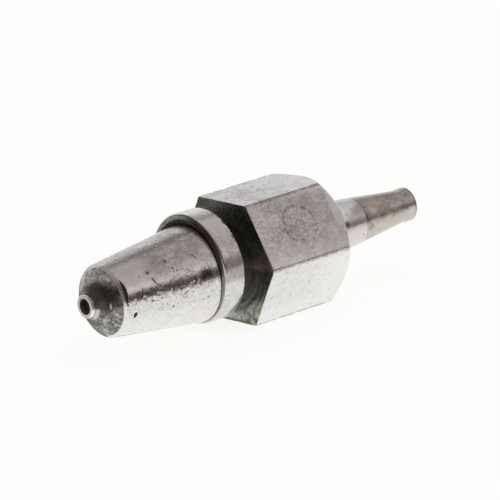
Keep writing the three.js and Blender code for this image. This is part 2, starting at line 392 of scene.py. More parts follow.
counts = [14, 12, 108, 10, 24, 2, 6, 0, 4, 2, 10]
lines = np.stack([fixed_line(hex_profile(r, c), counts) for _, r, c in columns], 1)
G = np.empty(lines.shape[:2] + (3,))
G[..., 0] = lines[..., 0]
G[..., 1] = lines[..., 1] * np.cos(angles)
G[..., 2] = lines[..., 1] * np.sin(angles)
N = grid_normals(G, True)
radial = G.copy(); radial[..., 0] = 0
mid = int(np.argmax(lines[:, 0, 1])) + 20
if (N * radial)[mid].sum() < 0:
    N = -N
hex_pits = []
for k in range(6):
    m = math.radians(30 + 60 * k)
    nrm, tan = np.array([0, math.cos(m), math.sin(m)]), np.array([0, -math.sin(m), math.cos(m)])
    for _ in range(70):
        p = nrm * 8.0 + tan * rng.uniform(-4.1, 4.1) + np.array([rng.uniform(0.8, 12.6), 0, 0])
        hex_pits.append((tuple(p), rng.uniform(0.08, 0.2), rng.uniform(0.012, 0.055)))
    # long shallow dents from wrench jaws
    for _ in range(7):
        q = nrm * 8.0 + tan * rng.uniform(-3.6, 3.2) + np.array([rng.uniform(1.0, 11.5), 0, 0])
        way = rng.uniform(-1, 1, 2)
        for j in range(rng.randint(4, 9)):
            hex_pits.append((tuple(q + (tan * way[0] + np.array([way[1], 0, 0])) * 0.13 * j), 0.12, rng.uniform(0.015, 0.035)))
edge_pits = []
for k in range(6):
    c = k * math.pi / 3
    for _ in range(11):
        edge_pits.append(((rng.uniform(0.3, 12.2), HEX_R * math.cos(c), HEX_R * math.sin(c)), rng.uniform(0.14, 0.34), rng.uniform(0.02, 0.09)))
outer = (np.linalg.norm(G[..., 1:], axis=-1) > 6.0).astype(float)
G0 = G
G = worn(G, N, hex_pits + edge_pits, wave=0.004, seed=13, weight=outer)
G = G + N * (0.020 * value_noise(G0, 1.3, 51) * outer * (G0[..., 0] < 0.25) * (np.linalg.norm(G0[..., 1:], axis=-1) < 8.9))[..., None]
# nothing stands proud of the top and bottom flats or of either end
over = 8.0 / np.maximum(8.0, np.abs(G[..., 2]))
G[..., 2] *= over
G[..., 0] = np.clip(G[..., 0], 0.0, HEX_BACK)
hexagon = surface("hexagon", G, True)

# ---------------------------------------------------------------------- tail
ferrule_line = filleted([
    (HEX_BACK + 0.05, 3.79, 0.10), (21.68, 3.13, 0.06), (21.68, 2.25, 0.0), (11.4, 2.25, 0.0), (11.4, 1.5, 0.0), (10.35, 1.5, 0.0),
    (10.35, 3.4, 0.08), (HEX_BACK + 0.05, 3.4, 0.0),
], step=0.14)
G = turned_grid(ferrule_line, 224)
N = grid_normals(G, True)
radial = G.copy(); radial[..., 0] = 0
if (N * radial)[np.argmax(ferrule_line[:, 1])].sum() < 0:
    N = -N
outer = ((np.linalg.norm(radial, axis=-1) > 3.05) & (G[..., 0] > HEX_BACK + 0.1)).astype(float)
G = worn(G, N, [], wave=0.006, seed=17, weight=outer)
ferrule = surface("tail_front_section", G, True)

tail_line = filleted([
    (21.74, 2.2, 0.0), (21.74, 3.10, 0.05), (30.05, 2.13, 0.5), (30.35, 2.26, 0.3), (TAIL, 2.26, 0.14), (TAIL, 1.4, 0.14),
    (11.45, 1.4, 0.0), (11.45, 2.2, 0.0),
], step=0.14)
G = turned_grid(tail_line, 224)
N = grid_normals(G, True)
radial = G.copy(); radial[..., 0] = 0
if (N * radial)[np.argmax(tail_line[:, 1])].sum() < 0:
    N = -N
outer = ((G[..., 0] > 21.7) & (np.linalg.norm(radial, axis=-1) > 1.9) & (G[..., 0] < TAIL - 0.3)).astype(float)
tail_pits = []
for _ in range(26):
    a, s = rng.uniform(0, 2 * math.pi), rng.uniform(22.0, 30)
    r = 3.08 + (2.13 - 3.08) * (s - 21.74) / (30.05 - 21.74)
    tail_pits.append(((s, r * math.cos(a), r * math.sin(a)), rng.uniform(0.08, 0.16), rng.uniform(0.01, 0.03)))
G = worn(G, N, tail_pits, wave=0.005, seed=19, weight=outer)
tail = surface("tail_rear_tube", G, True)


# -------------------------------------------------------------------- spring
S_BOX = NODE["valve_spring"]
SPRING0, SPRING1 = S_BOX[0].x / MM - X0, S_BOX[1].x / MM - X0
WIRE, COIL, TURNS = 0.22, 1.2, 6
sp_n, sp_m = TURNS * 40 + 1, 14
ft = np.linspace(0, 1, sp_n)
wind = ft * TURNS * 2 * math.pi
# the end coils lie closer together
pitch = ft + 0.045 * np.sin(2 * math.pi * ft) * -1
path = np.stack([SPRING0 + WIRE + (SPRING1 - SPRING0 - 2 * WIRE) * pitch, COIL * np.cos(wind), COIL * np.sin(wind)], -1)
tan = np.gradient(path, axis=0)
tan /= np.linalg.norm(tan, axis=1, keepdims=True)
out_v = np.stack([np.zeros(sp_n), np.cos(wind), np.sin(wind)], -1)
side = np.cross(tan, out_v)
side /= np.linalg.norm(side, axis=1, keepdims=True)
phi = np.linspace(0, 2 * math.pi, sp_m, endpoint=False)
tube = path[:, None] + WIRE * (np.cos(phi)[None, :, None] * out_v[:, None] + np.sin(phi)[None, :, None] * side[:, None])
tube = np.concatenate([np.repeat(path[:1, None], sp_m, 1), tube, np.repeat(path[-1:, None], sp_m, 1)], 0)
tube[..., 0] = np.clip(tube[..., 0], SPRING0, SPRING1)
spring = surface("coil_spring", tube, False)


# ----------------------------------------------------------------- materials
class Nodes:
    def __init__(self, name):
        self.mat = bpy.data.materials.new(name)
        self.mat.use_nodes = True
        self.t = self.mat.node_tree
        self.t.nodes.clear()
        self.out = self.t.nodes.new("ShaderNodeOutputMaterial")
        self.bsdf = self.t.nodes.new("ShaderNodeBsdfPrincipled")
        self.t.links.new(self.bsdf.outputs[0], self.out.inputs[0])
        tc = self.t.nodes.new("ShaderNodeTexCoord")
        m = self.t.nodes.new("ShaderNodeMapping")
        m.inputs["Scale"].default_value = (1000, 1000, 1000)
        m.inputs["Location"].default_value = (-X0, 0, 0)
        self.t.links.new(tc.outputs["Object"], m.inputs[0])
        self.p = m.outputs[0]          # millimetres, station 0 at the hexagon's front
        s = self.t.nodes.new("ShaderNodeSeparateXYZ")
        self.t.links.new(self.p, s.inputs[0])
        self.x, self.y, self.z = s.outputs

    def put(self, socket, value):
        if isinstance(value, bpy.types.NodeSocket):
            self.t.links.new(value, socket)
        else:
            socket.default_value = value

    def math(self, op, *args, clamp=False):
        n = self.t.nodes.new("ShaderNodeMath")
        n.operation = op
        n.use_clamp = clamp
        for i, a in enumerate(args):
            self.put(n.inputs[i], a)
        return n.outputs[0]

    def noise(self, scale, detail=3, rough=0.55, stretch=(1, 1, 1), shift=(0, 0, 0), distortion=0.0, at=None):
        m = self.t.nodes.new("ShaderNodeMapping")
        m.inputs["Scale"].default_value = stretch
        m.inputs["Location"].default_value = shift
        self.put(m.inputs[0], at or self.p)
        n = self.t.nodes.new("ShaderNodeTexNoise")
        n.inputs["Scale"].default_value = scale
        n.inputs["Detail"].default_value = detail
        n.inputs["Roughness"].default_value = rough
        n.inputs["Distortion"].default_value = distortion
        self.t.links.new(m.outputs[0], n.inputs["Vector"])
        return n.outputs[0]

    def cells(self, scale, shift=(0, 0, 0), rand=1.0, stretch=(1, 1, 1)):
        m = self.t.nodes.new("ShaderNodeMapping")
        m.inputs["Location"].default_value = shift
        m.inputs["Scale"].default_value = stretch
        self.t.links.new(self.p, m.inputs[0])
        n = self.t.nodes.new("ShaderNodeTexVoronoi")
        n.inputs["Scale"].default_value = scale
        n.inputs["Randomness"].default_value = rand
        self.t.links.new(m.outputs[0], n.inputs["Vector"])
        return n

    def ramp(self, value, lo, hi, out0=0.0, out1=1.0, smooth=True):
        n = self.t.nodes.new("ShaderNodeMapRange")
        n.interpolation_type = "SMOOTHSTEP" if smooth else "LINEAR"
        n.clamp = True
        self.put(n.inputs[0], value)
        for i, v in enumerate((lo, hi, out0, out1)):
            self.put(n.inputs[i + 1], v)
        return n.outputs[0]

    def mix(self, f, a, b, kind="MIX"):
        n = self.t.nodes.new("ShaderNodeMix")
        n.data_type = "RGBA"
        n.blend_type = kind
        n.clamp_result = False
        self.put(n.inputs[0], f)
        for i, v in ((6, a), (7, b)):
            if isinstance(v, tuple):
                v = (*v, 1.0) if len(v) == 3 else v
            self.put(n.inputs[i], v)
        return n.outputs[2]

    def bump(self, height, distance, strength=1.0):
        n = self.t.nodes.new("ShaderNodeBump")
        n.inputs["Strength"].default_value = strength
        n.inputs["Distance"].default_value = distance
        self.t.links.new(height, n.inputs["Height"])
        self.t.links.new(n.outputs[0], self.bsdf.inputs["Normal"])

    def radius(self, lift=0.0):
        z = self.math("SUBTRACT", self.z, lift) if lift else self.z
        return self.math("SQRT", self.math("ADD", self.math("MULTIPLY", self.y, self.y), self.math("MULTIPLY", z, z)))

    def axis_normal(self):
        """X part of the surface's true normal: -1 on faces to the nose, 1 on faces to the tail."""
        g = self.t.nodes.new("ShaderNodeNewGeometry")
        s = self.t.nodes.new("ShaderNodeSeparateXYZ")
        self.t.links.new(g.outputs["True Normal"], s.inputs[0])
        return s.outputs[0]


def plated(name, light=(0.80, 0.785, 0.785), dull=(0.49, 0.455, 0.445), seed=0.0, rough=0.14, speck=1.0, extra=None, streak=(1, 1, 1), calm=0.0, under=0.0):
    """Worn nickel plate: tarnish clouds, fine wear, dark specks, small pits and scuffs."""
    m = Nodes(name)
    cloud = m.noise(0.42, 4, 0.6, shift=(seed, 3 * seed, 0), distortion=0.4, stretch=streak)
    fine = m.noise(2.6, 5, 0.68, shift=(seed, 0, seed), stretch=streak)
    grit = m.noise(13.0, 3, 0.65, shift=(0, seed, 0))
    tarnish = m.ramp(m.math("ADD", m.math("MULTIPLY", cloud, 0.5), m.math("MULTIPLY", fine, 0.5)), 0.40, 0.62)
    if under:
        down = m.ramp(m.math("MULTIPLY", m.math("ARCTAN2", m.z, m.math("MULTIPLY", m.y, -1.0)), 57.29578), 3.0, -6.0)
        tarnish = m.math("MULTIPLY", tarnish, m.math("SUBTRACT", 1.0, m.math("MULTIPLY", down, under)))
    if calm:
        g = m.t.nodes.new("ShaderNodeNewGeometry")
        q = m.t.nodes.new("ShaderNodeSeparateXYZ")
        m.t.links.new(g.outputs["True Normal"], q.inputs[0])
        tarnish = m.math("MULTIPLY", tarnish, m.ramp(q.outputs[2], -0.25, -0.45, 1.0, 1.0 - calm))
    colour = m.mix(m.math("MULTIPLY", tarnish, 0.75), light, dull)
    # grey-brown stains with soft edges
    shade = m.math("SUBTRACT", 1.0, m.math("MULTIPLY", down, 0.7)) if under else 1.0
    stain = m.ramp(m.math("ADD", m.math("MULTIPLY", m.noise(1.3, 5, 0.7, shift=(seed + 3, 8, seed), distortion=0.6, stretch=streak), 0.75), m.math("MULTIPLY", grit, 0.25)), 0.545, 0.66)
    colour = m.mix(m.math("MULTIPLY", m.math("MULTIPLY", stain, 0.6 * speck), shade), colour, (0.25, 0.225, 0.21))
    # brown-black specks in loose clusters
    v = m.cells(2.1, shift=(seed * 1.3, seed, 2))
    ragged = m.math("ADD", v.outputs["Distance"], m.math("MULTIPLY", m.math("SUBTRACT", grit, 0.5), 0.28))
    spot = m.ramp(ragged, 0.08, 0.17, 1.0, 0.0)
    pick = m.ramp(m.noise(0.55, 2, 0.5, shift=(5 + seed, 1, 2)), 0.44, 0.52)
    spot = m.math("MULTIPLY", spot, pick)
    v2 = m.cells(4.6, shift=(seed, 7 + seed, 2))
    spot2 = m.math("MULTIPLY", m.ramp(v2.outputs["Distance"], 0.08, 0.19, 1.0, 0.0), m.ramp(m.noise(1.1, 2, 0.5, shift=(1, seed, 9)), 0.46, 0.56))
    specks = m.math("MULTIPLY", m.math("MAXIMUM", spot, m.math("MULTIPLY", spot2, 0.7)), speck, clamp=True)
    colour = m.mix(m.math("MULTIPLY", specks, 0.85), colour, (0.075, 0.062, 0.055))
    rough_v = m.math("ADD", m.math("MULTIPLY", fine, 0.12), rough - 0.06)
    rough_v = m.math("ADD", rough_v, m.math("MULTIPLY", tarnish, 0.07))
    rough_v = m.math("ADD", rough_v, m.math("MULTIPLY", specks, 0.35))
    height = m.math("ADD", m.math("MULTIPLY", fine, 0.9), m.math("MULTIPLY", grit, 0.28))
    height = m.math("SUBTRACT", height, m.math("MULTIPLY", specks, 0.8))
    m.metallic = None
    if extra:
        colour, rough_v, height = extra(m, colour, rough_v, height)
    m.put(m.bsdf.inputs["Base Color"], colour)
    m.put(m.bsdf.inputs["Roughness"], rough_v)
    m.put(m.bsdf.inputs["Metallic"], 1.0 if m.metallic is None else m.metallic)
    m.bump(height, 0.00004, 0.5)
    return m.mat


def nose_extra(m, colour, rough, height):
    """Soot and scale on the dome, with a painted dark reflection, a painted light streak and painted highlights; a
    gouged strip behind its rim, painted near-black as a dark reflection; nicks along the taper; grease and painted
    shade behind the taper.
    """
    s = m.x
    a = m.math("MULTIPLY", m.math("ARCTAN2", m.z, m.math("MULTIPLY", m.y, -1.0)), 57.29578)
    n = m.noise(1.5, 5, 0.65, shift=(2, 1, 4), distortion=0.8)
    n2 = m.noise(3.4, 4, 0.62, shift=(7, 1, 4), distortion=0.5)
    # mauve-brown tarnish on the upper half of the taper, streaked along it
    high = m.ramp(a, 4.0, 30.0)
    drag = m.noise(1.5, 5, 0.7, shift=(3, 2, 9), stretch=(0.45, 1, 1), distortion=0.5)
    smear = m.math("MULTIPLY", m.ramp(drag, 0.43, 0.60), m.ramp(a, 18.0, 42.0))
    colour = m.mix(m.math("MULTIPLY", smear, 0.50), colour, (0.42, 0.375, 0.36))
    # paler towards the front, and greyer just under the belly
    pale = m.math("MULTIPLY", m.ramp(s, -14.2, -18.2), m.math("MULTIPLY", m.ramp(a, 12.0, 20.0), m.ramp(a, 84.0, 62.0)))
    colour = m.mix(m.math("MULTIPLY", pale, 0.62), colour, (0.92, 0.89, 0.875))
    greyer = m.math("MULTIPLY", m.ramp(a, -27.0, -14.0), m.ramp(a, 5.0, 0.0))
    greyer = m.math("MULTIPLY", greyer, m.math("ADD", 0.14, m.math("MULTIPLY", m.ramp(n2, 0.47, 0.62), 0.42)))
    colour = m.mix(greyer, colour, (0.40, 0.395, 0.38))
    # black flecks and short scratches on the upper half
    fv = m.cells(1.25, shift=(8, 3, 5), stretch=(1.0, 1.5, 1.5))
    fleck = m.math("ADD", fv.outputs["Distance"], m.math("MULTIPLY", m.math("SUBTRACT", n2, 0.5), 0.30))
    fleck = m.math("MULTIPLY", m.ramp(fleck, 0.07, 0.15, 1.0, 0.0), m.math("MULTIPLY", high, m.ramp(m.noise(0.8, 2, 0.5, shift=(3, 3, 3)), 0.40, 0.48)))
    colour = m.mix(m.math("MULTIPLY", fleck, 0.85), colour, (0.055, 0.045, 0.04))
    # black pits low down
    lv = m.cells(1.35, shift=(4, 9, 5))
    pit = m.math("ADD", lv.outputs["Distance"], m.math("MULTIPLY", m.math("SUBTRACT", n2, 0.5), 0.35))
    pit = m.math("MULTIPLY", m.ramp(pit, 0.08, 0.19, 1.0, 0.0), m.math("MULTIPLY", m.ramp(a, -46.0, -36.0), m.ramp(a, 3.0, 0.0)))
    pit = m.math("MULTIPLY", pit, m.math("MULTIPLY", m.ramp(s, -17.6, -16.6), m.ramp(m.noise(0.7, 2, 0.5, shift=(1, 7, 3)), 0.40, 0.50)))
    colour = m.mix(m.math("MULTIPLY", pit, 0.75), colour, (0.10, 0.09, 0.08))
    # scratches and dents one by one: station and angle of both ends, half width, darkness
    arc = m.math("MULTIPLY", a, 0.0960)
    ragged = m.math("MULTIPLY", m.math("SUBTRACT", n2, 0.5), 1.3)
    for s0, a0, s1, a1, half, dark in (
        (-16.18, 28.4, -15.92, 21.5, 0.13, 0.85), (-9.48, 40.6, -9.17, 34.9, 0.10, 0.7), (-17.75, 37.1, -17.75, 37.1, 0.13, 0.6),
        (-16.50, 39.0, -16.45, 37.4, 0.20, 0.85), (-13.42, 46.0, -13.37, 44.0, 0.19, 0.7), (-12.90, 32.8, -12.80, 31.8, 0.15, 0.75),
        (-12.42, 28.1, -12.36, 27.5, 0.14, 0.75), (-17.96, 19.8, -18.25, 8.7, 0.09, 0.75), (-16.85, 7.0, -16.98, -4.7, 0.06, 0.6),
        (-12.62, 6.8, -12.40, 4.2, 0.22, 0.6), (-13.76, -16.0, -13.72, -17.0, 0.17, 0.55), (-14.75, -10.6, -14.6, -12.0, 0.12, 0.5),
        (-15.75, -13.0, -15.30, -19.0, 0.07, 0.45), (-11.0, 26.0, -10.7, 22.5, 0.09, 0.6), (-10.3, 14.0, -10.2, 9.0, 0.10, 0.6),
        (-14.0, 14.0, -14.15, 8.0, 0.09, 0.6), (-8.6, -14.0, -8.4, -15.5, 0.12, 0.45), (-10.9, -3.0, -10.7, -4.0, 0.11, 0.5),
    ):
        ux, uv = s1 - s0, (a1 - a0) * 0.0960
        L2 = ux * ux + uv * uv
        px, pv = m.math("SUBTRACT", s, s0), m.math("SUBTRACT", arc, a0 * 0.0960)
        if L2 > 1e-4:
            along = m.math("DIVIDE", m.math("ADD", m.math("MULTIPLY", px, ux), m.math("MULTIPLY", pv, uv)), L2, clamp=True)
            px = m.math("SUBTRACT", px, m.math("MULTIPLY", along, ux))
            pv = m.math("SUBTRACT", pv, m.math("MULTIPLY", along, uv))
        away = m.math("DIVIDE", m.math("SQRT", m.math("ADD", m.math("MULTIPLY", px, px), m.math("MULTIPLY", pv, pv))), half)
        away = m.math("ADD", away, ragged)
        colour = m.mix(m.ramp(away, 0.55, 1.25, dark, 0.0), colour, (0.06, 0.05, 0.045))
    # a small round dent under the belly
    px, pv = m.math("ADD", s, 12.03), m.math("ADD", arc, 0.59)
    loop = m.math("ABSOLUTE", m.math("SUBTRACT", m.math("SQRT", m.math("ADD", m.math("MULTIPLY", px, px), m.math("MULTIPLY", pv, pv))), 0.24))
    colour = m.mix(m.ramp(loop, 0.05, 0.13, 0.5, 0.0), colour, (0.09, 0.08, 0.075))
    # nicks across the belly: short dark strokes
    v = m.cells(1.5, shift=(2, 6, 1), stretch=(3.6, 0.6, 0.6))
    nick = m.math("MULTIPLY", m.ramp(v.outputs["Distance"], 0.10, 0.20, 1.0, 0.0), m.math("MULTIPLY", m.ramp(a, -9.0, 2.0), m.ramp(a, 42.0, 20.0)))
    nick = m.math("MULTIPLY", nick, m.ramp(n, 0.36, 0.46))
    colour = m.mix(m.math("MULTIPLY", nick, 0.8), colour, (0.07, 0.06, 0.055))
    # dirt that collects along the belly, heavier towards the ring
    edge = m.math("ADD", a, m.math("MULTIPLY", m.math("SUBTRACT", n2, 0.5), 22.0))
    belly = m.math("MULTIPLY", m.ramp(edge, 1.0, 6.0), m.ramp(edge, 21.0, 12.0))
    belly = m.math("MULTIPLY", belly, m.math("MAXIMUM", m.ramp(n, 0.36, 0.60, 0.35, 0.95), m.math("MULTIPLY", m.ramp(s, -10.2, -8.9), m.ramp(s, -6.9, -7.9))))
    blot = m.math("MULTIPLY", m.math("MULTIPLY", m.ramp(s, -9.6, -8.8), m.ramp(s, -7.4, -8.0)), m.math("MULTIPLY", m.ramp(edge, 6.0, 10.0), m.ramp(edge, 22.0, 17.0)))
    colour = m.mix(m.math("MULTIPLY", blot, 0.88), colour, (0.045, 0.04, 0.038))
    colour = m.mix(m.math("MULTIPLY", belly, 0.55), colour, (0.13, 0.115, 0.105))
    # the gouge behind the rim: real dents, painted near-black as a painted dark reflection
    w = m.math("DIVIDE", m.math("SUBTRACT", a, 23.0), 20.5)
    w = m.math("MULTIPLY", m.math("SUBTRACT", 1.0, m.math("MULTIPLY", w, w)), 0.34)
    reach = m.math("ADD", m.math("ADD", w, -20.52), m.math("MULTIPLY", m.math("SUBTRACT", n2, 0.5), 0.15))
    left = m.math("SUBTRACT", -20.60, m.math("MULTIPLY", w, 0.34))
    gouge_dark_reflection = m.math("MULTIPLY", m.ramp(m.math("SUBTRACT", reach, s), -0.05, 0.06), m.ramp(m.math("SUBTRACT", s, left), -0.03, 0.04))
    gouge_dark_reflection = m.math("MULTIPLY", gouge_dark_reflection, m.ramp(w, -0.02, 0.05))
    # one deep dent low on the taper
    dent_a = m.math("DIVIDE", m.math("ADD", a, 17.0), 4.4)
    dent_s = m.math("DIVIDE", m.math("ADD", s, m.math("ADD", 19.38, m.math("MULTIPLY", dent_a, -0.10))), 0.26)
    dent = m.ramp(m.math("ADD", m.math("MULTIPLY", dent_a, dent_a), m.math("MULTIPLY", dent_s, dent_s)), 0.7, 1.4, 1.0, 0.0)
    colour = m.mix(m.math("MULTIPLY", dent, 0.95), colour, (0.02, 0.017, 0.014))
    rough = m.math("ADD", rough, m.math("MULTIPLY", m.math("ADD", gouge_dark_reflection, dent), 0.4))
    # dome: soft grey scale and soot inside a clean rim
    r = m.radius()
    soft = m.noise(0.75, 3, 0.5, shift=(9, 1, 4), distortion=0.9)
    soft2 = m.noise(1.7, 4, 0.55, shift=(7, 1, 14), distortion=0.7)
    tone = m.math("ADD", m.math("MULTIPLY", soft, 0.5), m.math("MULTIPLY", soft2, 0.5))
    front = m.ramp(s, -20.60, -20.80)
    dome = m.math("MULTIPLY", front, m.ramp(m.math("ADD", r, m.math("MULTIPLY", m.math("SUBTRACT", n2, 0.5), 0.25)), 4.52, 4.36))
    scaled = m.mix(m.ramp(tone, 0.38, 0.62), (0.185, 0.174, 0.167), (0.60, 0.58, 0.565))
    scaled = m.mix(m.ramp(n2, 0.54, 0.64, 0.0, 0.55), scaled, (0.08, 0.076, 0.07))
    low = m.ramp(m.z, -0.2, -1.4)
    scaled = m.mix(m.math("MULTIPLY", low, 0.88), scaled, m.mix(m.ramp(soft2, 0.42, 0.60), (0.095, 0.091, 0.085), (0.37, 0.363, 0.35)))
    # a painted dark reflection to the right of the nipple, and a second dark patch above it
    dx = m.math("DIVIDE", m.math("ADD", m.y, 2.35), 2.6)
    dz = m.math("DIVIDE", m.math("SUBTRACT", m.z, 0.95), 2.05)
    d = m.math("SQRT", m.math("ADD", m.math("MULTIPLY", dx, dx), m.math("MULTIPLY", dz, dz)))
    patch = m.ramp(m.math("ADD", d, m.math("MULTIPLY", m.math("ADD", n, m.math("MULTIPLY", n2, 0.3)), 0.9)), 1.10, 1.85, 1.0, 0.0)
    scaled = m.mix(m.math("MULTIPLY", patch, 0.97), scaled, (0.020, 0.0145, 0.011))
    qy = m.math("DIVIDE", m.math("ADD", m.y, 1.15), 1.5)
    qz = m.math("DIVIDE", m.math("SUBTRACT", m.z, 2.15), 1.15)
    q = m.math("SQRT", m.math("ADD", m.math("MULTIPLY", qy, qy), m.math("MULTIPLY", qz, qz)))
    q = m.math("ADD", q, m.math("MULTIPLY", m.math("ADD", n, m.math("MULTIPLY", n2, 0.5)), 0.7))
    scaled = m.mix(m.ramp(q, 1.0, 1.75, 0.85, 0.0), scaled, (0.035, 0.028, 0.024))
    # brown flush between the patch and the nipple
    flush = m.math("MULTIPLY", m.ramp(r, 2.9, 2.2), m.ramp(m.z, -0.6, 0.2))
    scaled = m.mix(m.math("MULTIPLY", flush, 0.85), scaled, (0.075, 0.057, 0.052))
    # painted bright reflection below the nipple
    painted_bright_reflection = m.math("MULTIPLY", m.ramp(r, 2.10, 1.80), m.ramp(m.z, -0.05, -0.45))
    scaled = m.mix(painted_bright_reflection, scaled, (0.60, 0.59, 0.58))
    # five pale spots: the first two are painted highlights on the right of the dome, the other three pale patches on
    # its lower half
    for y0, z0, hy, hz in ((-3.15, 0.06, 0.13, 0.42), (-3.56, -1.03, 0.15, 0.36), (-2.0, -1.75, 0.30, 0.22), (-0.3, -2.3, 0.34, 0.26), (-1.3, -3.4, 0.36, 0.2)):
        qy = m.math("DIVIDE", m.math("SUBTRACT", m.y, y0), hy)
        qz = m.math("DIVIDE", m.math("SUBTRACT", m.z, z0), hz)
        q = m.math("SQRT", m.math("ADD", m.math("MULTIPLY", qy, qy), m.math("MULTIPLY", qz, qz)))
        scaled = m.mix(m.ramp(m.math("ADD", q, m.math("SUBTRACT", n2, 0.5)), 0.4, 1.35, 0.7, 0.0), scaled, (0.52, 0.51, 0.50))
    wiped = m.math("MULTIPLY", m.ramp(m.z, -1.6, -2.6), m.math("MULTIPLY", m.ramp(m.y, -1.7, -0.3), m.ramp(r, 2.45, 3.1)))
    scaled = m.mix(m.math("MULTIPLY", wiped, 0.38), scaled, (0.82, 0.81, 0.80))
    colour = m.mix(dome, colour, scaled)
    clean = m.math("MULTIPLY", front, m.math("SUBTRACT", 1.0, dome))
    colour = m.mix(m.math("MULTIPLY", clean, 0.7), colour, (0.80, 0.79, 0.785))
    # the gouge's near-black painted dark reflection goes on over the clean rim
    colour = m.mix(m.math("MULTIPLY", gouge_dark_reflection, 0.97), colour, (0.02, 0.017, 0.014))
    rough = m.math("ADD", rough, m.math("MULTIPLY", dome, 0.16))
    height = m.math("ADD", height, m.math("MULTIPLY", m.math("MULTIPLY", soft2, dome), 1.0))
    m.metallic = m.math("SUBTRACT", 1.0, m.math("MULTIPLY", dome, 0.6))
    # grease and soot on the neck behind the taper, with painted shade on the taper's rear edge and in the gap inside
    # the ring
    neck_grease_and_shade = m.ramp(s, -6.58, -6.50)
    colour = m.mix(m.math("MULTIPLY", neck_grease_and_shade, 0.92), colour, (0.07, 0.065, 0.055))
    return colour, m.math("ADD", rough, m.math("MULTIPLY", neck_grease_and_shade, 0.15)), height


def ring_extra(m, colour, rough, height):
    """Painted light and shade: a lighter top and a darker lower part. Dirt with a painted dark reflection on the front
    face, and a paler painted highlight across its upper side; a darker rear face; dirt along the rear edge; a dark
    bore.
    """
    f = m.ramp(m.axis_normal(), -0.80, -0.97)
    n = m.noise(0.9, 4, 0.6, shift=(4, 4, 1), distortion=0.5)
    b = m.math("MULTIPLY", m.math("ARCTAN2", m.math("SUBTRACT", m.z, RING_LIFT), m.math("MULTIPLY", m.y, -1.0)), 57.29578)
    # painted light and shade: the top lighter, and everything below b = 30–46° painted darker
    colour = m.mix(m.math("MULTIPLY", m.ramp(b, 40.0, 62.0), 0.8), colour, (0.97, 0.95, 0.945))
    shaded = m.math("MULTIPLY", m.ramp(b, 46.0, 30.0), m.math("ADD", 0.20, m.math("MULTIPLY", m.ramp(n, 0.35, 0.62), 0.14)))
    colour = m.mix(shaded, colour, (0.10, 0.10, 0.095))
    # front face: dirt with a painted dark reflection, paler lower down
    grime_and_dark_reflection = m.mix(m.ramp(n, 0.35, 0.65), (0.050, 0.040, 0.040), (0.105, 0.090, 0.085))
    grime_and_dark_reflection = m.mix(m.ramp(b, 44.0, 10.0, 0.0, 0.85), grime_and_dark_reflection, (0.33, 0.29, 0.28))
    colour = m.mix(m.math("MULTIPLY", f, 0.97), colour, grime_and_dark_reflection)
    r = m.radius(RING_LIFT)
    a2 = m.math("MULTIPLY", m.math("ARCTAN2", m.math("SUBTRACT", m.z, RING_LIFT), m.y), 57.29578)
    # a paler, duller strip round the front face's upper +Y side: a painted highlight
    pale_highlight_band = m.math("MULTIPLY", m.ramp(r, 6.40, 6.62), m.ramp(r, 7.12, 6.92))
    pale_highlight_band = m.math("MULTIPLY", m.math("MULTIPLY", pale_highlight_band, m.ramp(a2, 104.0, 84.0)), m.ramp(m.axis_normal(), -0.6, -0.8))
    colour = m.mix(m.math("MULTIPLY", pale_highlight_band, 0.9), colour, m.mix(m.ramp(n, 0.4, 0.6), (0.26, 0.26, 0.235), (0.44, 0.43, 0.40)))
    m.metallic = m.math("SUBTRACT", 1.0, m.math("MULTIPLY", pale_highlight_band, 0.85))
    back = m.ramp(m.axis_normal(), 0.75, 0.95)
    colour = m.mix(m.math("MULTIPLY", back, 0.7), colour, (0.20, 0.19, 0.16))
    rough = m.math("ADD", rough, m.math("MULTIPLY", f, 0.12))
    a = m.math("MULTIPLY", m.math("ARCTAN2", m.z, m.math("MULTIPLY", m.y, -1.0)), 57.29578)
    mark = m.math("MULTIPLY", m.ramp(a, -5.0, 2.0), m.ramp(a, 12.0, 6.0))
    colour = m.mix(m.math("MULTIPLY", mark, 0.6), colour, (0.25, 0.235, 0.22))
    # olive grime on the rear edge, widest on the lower side
    tide = m.math("MULTIPLY", m.ramp(a, -10.0, -46.0), 1.3)
    tide = m.math("ADD", m.math("ADD", m.x, tide), m.math("MULTIPLY", m.math("SUBTRACT", n, 0.5), 0.5))
    tide = m.math("MULTIPLY", m.ramp(tide, RING1 - 0.55, RING1 - 0.15), m.ramp(a, -6.0, -16.0))
    colour = m.mix(m.math("MULTIPLY", tide, 0.9), colour, (0.125, 0.12, 0.098))
    # ragged dark stain along the rear edge, on the upper side
    rag = m.math("ADD", m.x, m.math("MULTIPLY", m.math("SUBTRACT", m.noise(1.4, 4, 0.65, shift=(6, 2, 5), distortion=0.6), 0.5), 2.4))
    rag = m.math("MULTIPLY", m.ramp(rag, RING1 - 0.75, RING1 - 0.45), m.ramp(a, 22.0, 38.0))
    colour = m.mix(m.math("MULTIPLY", rag, 0.85), colour, (0.10, 0.09, 0.08))
    # the bore and its lip painted dark: grime, and painted shade between the ring and the taper's neck
    lip = m.ramp(r, 6.20, 6.06)
    colour = m.mix(m.math("MULTIPLY", lip, 0.95), colour, (0.03, 0.027, 0.025))
    return colour, m.math("ADD", rough, m.math("MULTIPLY", lip, 0.2)), height


